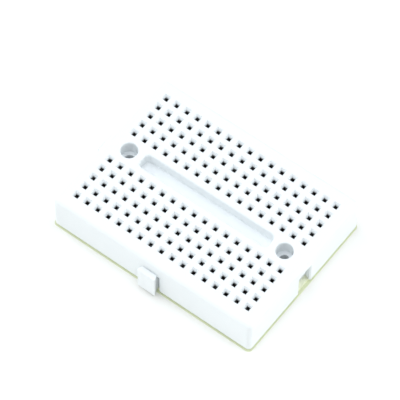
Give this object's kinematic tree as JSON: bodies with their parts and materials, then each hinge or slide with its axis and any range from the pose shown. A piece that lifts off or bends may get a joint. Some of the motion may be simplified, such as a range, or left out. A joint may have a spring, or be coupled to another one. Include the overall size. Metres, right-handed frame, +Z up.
{
  "type": "solderless breadboard",
  "caption": "Small white solderless breadboard: two banks of square tie-point holes either side of a centre channel, sprung metal contacts inside and a foam adhesive base.",
  "frame": {"origin": "centre of the base face of the rectangular body, on the surface that the board stands on", "axes": "+X along the long side, +Y across the centre channel, +Z up out of the tie-point face"},
  "size_m": [0.0484, 0.0366, 0.009],
  "materials": {
    "white_plastic": "fine satin moulded ABS",
    "contact_metal": "nickel-plated phosphor bronze sheet",
    "foam": "fine closed-cell foam with adhesive on both faces",
    "liner_paper": "silicone-coated release paper"
  },
  "bodies": {
    "root": {"housing": "white_plastic", "foam_pad": "foam", "release_liner": "liner_paper", "clip_bases_01": "contact_metal", "clip_bases_02": "contact_metal", "clip_bases_03": "contact_metal", "clip_bases_04": "contact_metal", "clip_bases_05": "contact_metal", "clip_bases_06": "contact_metal", "clip_bases_07": "contact_metal", "clip_bases_08": "contact_metal", "clip_bases_09": "contact_metal", "clip_bases_10": "contact_metal", "clip_bases_11": "contact_metal", "clip_bases_12": "contact_metal", "clip_bases_13": "contact_metal", "clip_bases_14": "contact_metal", "clip_bases_15": "contact_metal", "clip_bases_16": "contact_metal", "clip_bases_17": "contact_metal"},
    "left_leaves_01": {"left_leaves_01": "contact_metal"},
    "right_leaves_01": {"right_leaves_01": "contact_metal"},
    "left_leaves_02": {"left_leaves_02": "contact_metal"},
    "right_leaves_02": {"right_leaves_02": "contact_metal"},
    "left_leaves_03": {"left_leaves_03": "contact_metal"},
    "right_leaves_03": {"right_leaves_03": "contact_metal"},
    "left_leaves_04": {"left_leaves_04": "contact_metal"},
    "right_leaves_04": {"right_leaves_04": "contact_metal"},
    "left_leaves_05": {"left_leaves_05": "contact_metal"},
    "right_leaves_05": {"right_leaves_05": "contact_metal"},
    "left_leaves_06": {"left_leaves_06": "contact_metal"},
    "right_leaves_06": {"right_leaves_06": "contact_metal"},
    "left_leaves_07": {"left_leaves_07": "contact_metal"},
    "right_leaves_07": {"right_leaves_07": "contact_metal"},
    "left_leaves_08": {"left_leaves_08": "contact_metal"},
    "right_leaves_08": {"right_leaves_08": "contact_metal"},
    "left_leaves_09": {"left_leaves_09": "contact_metal"},
    "right_leaves_09": {"right_leaves_09": "contact_metal"},
    "left_leaves_10": {"left_leaves_10": "contact_metal"},
    "right_leaves_10": {"right_leaves_10": "contact_metal"},
    "left_leaves_11": {"left_leaves_11": "contact_metal"},
    "right_leaves_11": {"right_leaves_11": "contact_metal"},
    "left_leaves_12": {"left_leaves_12": "contact_metal"},
    "right_leaves_12": {"right_leaves_12": "contact_metal"},
    "left_leaves_13": {"left_leaves_13": "contact_metal"},
    "right_leaves_13": {"right_leaves_13": "contact_metal"},
    "left_leaves_14": {"left_leaves_14": "contact_metal"},
    "right_leaves_14": {"right_leaves_14": "contact_metal"},
    "left_leaves_15": {"left_leaves_15": "contact_metal"},
    "right_leaves_15": {"right_leaves_15": "contact_metal"},
    "left_leaves_16": {"left_leaves_16": "contact_metal"},
    "right_leaves_16": {"right_leaves_16": "contact_metal"},
    "left_leaves_17": {"left_leaves_17": "contact_metal"},
    "right_leaves_17": {"right_leaves_17": "contact_metal"}
  },
  "joints": [
    {"name": "left_flex_01", "type": "hinge", "parent": "root", "child": "left_leaves_01", "pos_m": [-0.02108, 0, 0.00089], "axis": [0, -1, 0], "range_deg": [0, 3.8], "stiffness_Nm_per_rad": 0.0002},
    {"name": "right_flex_01", "type": "hinge", "parent": "root", "child": "right_leaves_01", "pos_m": [-0.01956, 0, 0.00089], "axis": [0, 1, 0], "range_deg": [0, 3.8], "stiffness_Nm_per_rad": 0.0002},
    {"name": "left_flex_02", "type": "hinge", "parent": "root", "child": "left_leaves_02", "pos_m": [-0.01854, 0, 0.00089], "axis": [0, -1, 0], "range_deg": [0, 3.8], "stiffness_Nm_per_rad": 0.0002},
    {"name": "right_flex_02", "type": "hinge", "parent": "root", "child": "right_leaves_02", "pos_m": [-0.01702, 0, 0.00089], "axis": [0, 1, 0], "range_deg": [0, 3.8], "stiffness_Nm_per_rad": 0.0002},
    {"name": "left_flex_03", "type": "hinge", "parent": "root", "child": "left_leaves_03", "pos_m": [-0.016, 0, 0.00089], "axis": [0, -1, 0], "range_deg": [0, 3.8], "stiffness_Nm_per_rad": 0.0002},
    {"name": "right_flex_03", "type": "hinge", "parent": "root", "child": "right_leaves_03", "pos_m": [-0.01448, 0, 0.00089], "axis": [0, 1, 0], "range_deg": [0, 3.8], "stiffness_Nm_per_rad": 0.0002},
    {"name": "left_flex_04", "type": "hinge", "parent": "root", "child": "left_leaves_04", "pos_m": [-0.01346, 0, 0.00089], "axis": [0, -1, 0], "range_deg": [0, 3.8], "stiffness_Nm_per_rad": 0.0002},
    {"name": "right_flex_04", "type": "hinge", "parent": "root", "child": "right_leaves_04", "pos_m": [-0.01194, 0, 0.00089], "axis": [0, 1, 0], "range_deg": [0, 3.8], "stiffness_Nm_per_rad": 0.0002},
    {"name": "left_flex_05", "type": "hinge", "parent": "root", "child": "left_leaves_05", "pos_m": [-0.01092, 0, 0.00089], "axis": [0, -1, 0], "range_deg": [0, 3.8], "stiffness_Nm_per_rad": 0.0002},
    {"name": "right_flex_05", "type": "hinge", "parent": "root", "child": "right_leaves_05", "pos_m": [-0.0094, 0, 0.00089], "axis": [0, 1, 0], "range_deg": [0, 3.8], "stiffness_Nm_per_rad": 0.0002},
    {"name": "left_flex_06", "type": "hinge", "parent": "root", "child": "left_leaves_06", "pos_m": [-0.00838, 0, 0.00089], "axis": [0, -1, 0], "range_deg": [0, 3.8], "stiffness_Nm_per_rad": 0.0002},
    {"name": "right_flex_06", "type": "hinge", "parent": "root", "child": "right_leaves_06", "pos_m": [-0.00686, 0, 0.00089], "axis": [0, 1, 0], "range_deg": [0, 3.8], "stiffness_Nm_per_rad": 0.0002},
    {"name": "left_flex_07", "type": "hinge", "parent": "root", "child": "left_leaves_07", "pos_m": [-0.00584, 0, 0.00089], "axis": [0, -1, 0], "range_deg": [0, 3.8], "stiffness_Nm_per_rad": 0.0002},
    {"name": "right_flex_07", "type": "hinge", "parent": "root", "child": "right_leaves_07", "pos_m": [-0.00432, 0, 0.00089], "axis": [0, 1, 0], "range_deg": [0, 3.8], "stiffness_Nm_per_rad": 0.0002},
    {"name": "left_flex_08", "type": "hinge", "parent": "root", "child": "left_leaves_08", "pos_m": [-0.0033, 0, 0.00089], "axis": [0, -1, 0], "range_deg": [0, 3.8], "stiffness_Nm_per_rad": 0.0002},
    {"name": "right_flex_08", "type": "hinge", "parent": "root", "child": "right_leaves_08", "pos_m": [-0.00178, 0, 0.00089], "axis": [0, 1, 0], "range_deg": [0, 3.8], "stiffness_Nm_per_rad": 0.0002},
    {"name": "left_flex_09", "type": "hinge", "parent": "root", "child": "left_leaves_09", "pos_m": [-0.00076, 0, 0.00089], "axis": [0, -1, 0], "range_deg": [0, 3.8], "stiffness_Nm_per_rad": 0.0002},
    {"name": "right_flex_09", "type": "hinge", "parent": "root", "child": "right_leaves_09", "pos_m": [0.00076, 0, 0.00089], "axis": [0, 1, 0], "range_deg": [0, 3.8], "stiffness_Nm_per_rad": 0.0002},
    {"name": "left_flex_10", "type": "hinge", "parent": "root", "child": "left_leaves_10", "pos_m": [0.00178, 0, 0.00089], "axis": [0, -1, 0], "range_deg": [0, 3.8], "stiffness_Nm_per_rad": 0.0002},
    {"name": "right_flex_10", "type": "hinge", "parent": "root", "child": "right_leaves_10", "pos_m": [0.0033, 0, 0.00089], "axis": [0, 1, 0], "range_deg": [0, 3.8], "stiffness_Nm_per_rad": 0.0002},
    {"name": "left_flex_11", "type": "hinge", "parent": "root", "child": "left_leaves_11", "pos_m": [0.00432, 0, 0.00089], "axis": [0, -1, 0], "range_deg": [0, 3.8], "stiffness_Nm_per_rad": 0.0002},
    {"name": "right_flex_11", "type": "hinge", "parent": "root", "child": "right_leaves_11", "pos_m": [0.00584, 0, 0.00089], "axis": [0, 1, 0], "range_deg": [0, 3.8], "stiffness_Nm_per_rad": 0.0002},
    {"name": "left_flex_12", "type": "hinge", "parent": "root", "child": "left_leaves_12", "pos_m": [0.00686, 0, 0.00089], "axis": [0, -1, 0], "range_deg": [0, 3.8], "stiffness_Nm_per_rad": 0.0002},
    {"name": "right_flex_12", "type": "hinge", "parent": "root", "child": "right_leaves_12", "pos_m": [0.00838, 0, 0.00089], "axis": [0, 1, 0], "range_deg": [0, 3.8], "stiffness_Nm_per_rad": 0.0002},
    {"name": "left_flex_13", "type": "hinge", "parent": "root", "child": "left_leaves_13", "pos_m": [0.0094, 0, 0.00089], "axis": [0, -1, 0], "range_deg": [0, 3.8], "stiffness_Nm_per_rad": 0.0002},
    {"name": "right_flex_13", "type": "hinge", "parent": "root", "child": "right_leaves_13", "pos_m": [0.01092, 0, 0.00089], "axis": [0, 1, 0], "range_deg": [0, 3.8], "stiffness_Nm_per_rad": 0.0002},
    {"name": "left_flex_14", "type": "hinge", "parent": "root", "child": "left_leaves_14", "pos_m": [0.01194, 0, 0.00089], "axis": [0, -1, 0], "range_deg": [0, 3.8], "stiffness_Nm_per_rad": 0.0002},
    {"name": "right_flex_14", "type": "hinge", "parent": "root", "child": "right_leaves_14", "pos_m": [0.01346, 0, 0.00089], "axis": [0, 1, 0], "range_deg": [0, 3.8], "stiffness_Nm_per_rad": 0.0002},
    {"name": "left_flex_15", "type": "hinge", "parent": "root", "child": "left_leaves_15", "pos_m": [0.01448, 0, 0.00089], "axis": [0, -1, 0], "range_deg": [0, 3.8], "stiffness_Nm_per_rad": 0.0002},
    {"name": "right_flex_15", "type": "hinge", "parent": "root", "child": "right_leaves_15", "pos_m": [0.016, 0, 0.00089], "axis": [0, 1, 0], "range_deg": [0, 3.8], "stiffness_Nm_per_rad": 0.0002},
    {"name": "left_flex_16", "type": "hinge", "parent": "root", "child": "left_leaves_16", "pos_m": [0.01702, 0, 0.00089], "axis": [0, -1, 0], "range_deg": [0, 3.8], "stiffness_Nm_per_rad": 0.0002},
    {"name": "right_flex_16", "type": "hinge", "parent": "root", "child": "right_leaves_16", "pos_m": [0.01854, 0, 0.00089], "axis": [0, 1, 0], "range_deg": [0, 3.8], "stiffness_Nm_per_rad": 0.0002},
    {"name": "left_flex_17", "type": "hinge", "parent": "root", "child": "left_leaves_17", "pos_m": [0.01956, 0, 0.00089], "axis": [0, -1, 0], "range_deg": [0, 3.8], "stiffness_Nm_per_rad": 0.0002},
    {"name": "right_flex_17", "type": "hinge", "parent": "root", "child": "right_leaves_17", "pos_m": [0.02108, 0, 0.00089], "axis": [0, 1, 0], "range_deg": [0, 3.8], "stiffness_Nm_per_rad": 0.0002}
  ],
  "couplings": [
    {"joint": "right_flex_01", "follows": "left_flex_01", "ratio": 1},
    {"joint": "right_flex_02", "follows": "left_flex_02", "ratio": 1},
    {"joint": "right_flex_03", "follows": "left_flex_03", "ratio": 1},
    {"joint": "right_flex_04", "follows": "left_flex_04", "ratio": 1},
    {"joint": "right_flex_05", "follows": "left_flex_05", "ratio": 1},
    {"joint": "right_flex_06", "follows": "left_flex_06", "ratio": 1},
    {"joint": "right_flex_07", "follows": "left_flex_07", "ratio": 1},
    {"joint": "right_flex_08", "follows": "left_flex_08", "ratio": 1},
    {"joint": "right_flex_09", "follows": "left_flex_09", "ratio": 1},
    {"joint": "right_flex_10", "follows": "left_flex_10", "ratio": 1},
    {"joint": "right_flex_11", "follows": "left_flex_11", "ratio": 1},
    {"joint": "right_flex_12", "follows": "left_flex_12", "ratio": 1},
    {"joint": "right_flex_13", "follows": "left_flex_13", "ratio": 1},
    {"joint": "right_flex_14", "follows": "left_flex_14", "ratio": 1},
    {"joint": "right_flex_15", "follows": "left_flex_15", "ratio": 1},
    {"joint": "right_flex_16", "follows": "left_flex_16", "ratio": 1},
    {"joint": "right_flex_17", "follows": "left_flex_17", "ratio": 1}
  ]
}
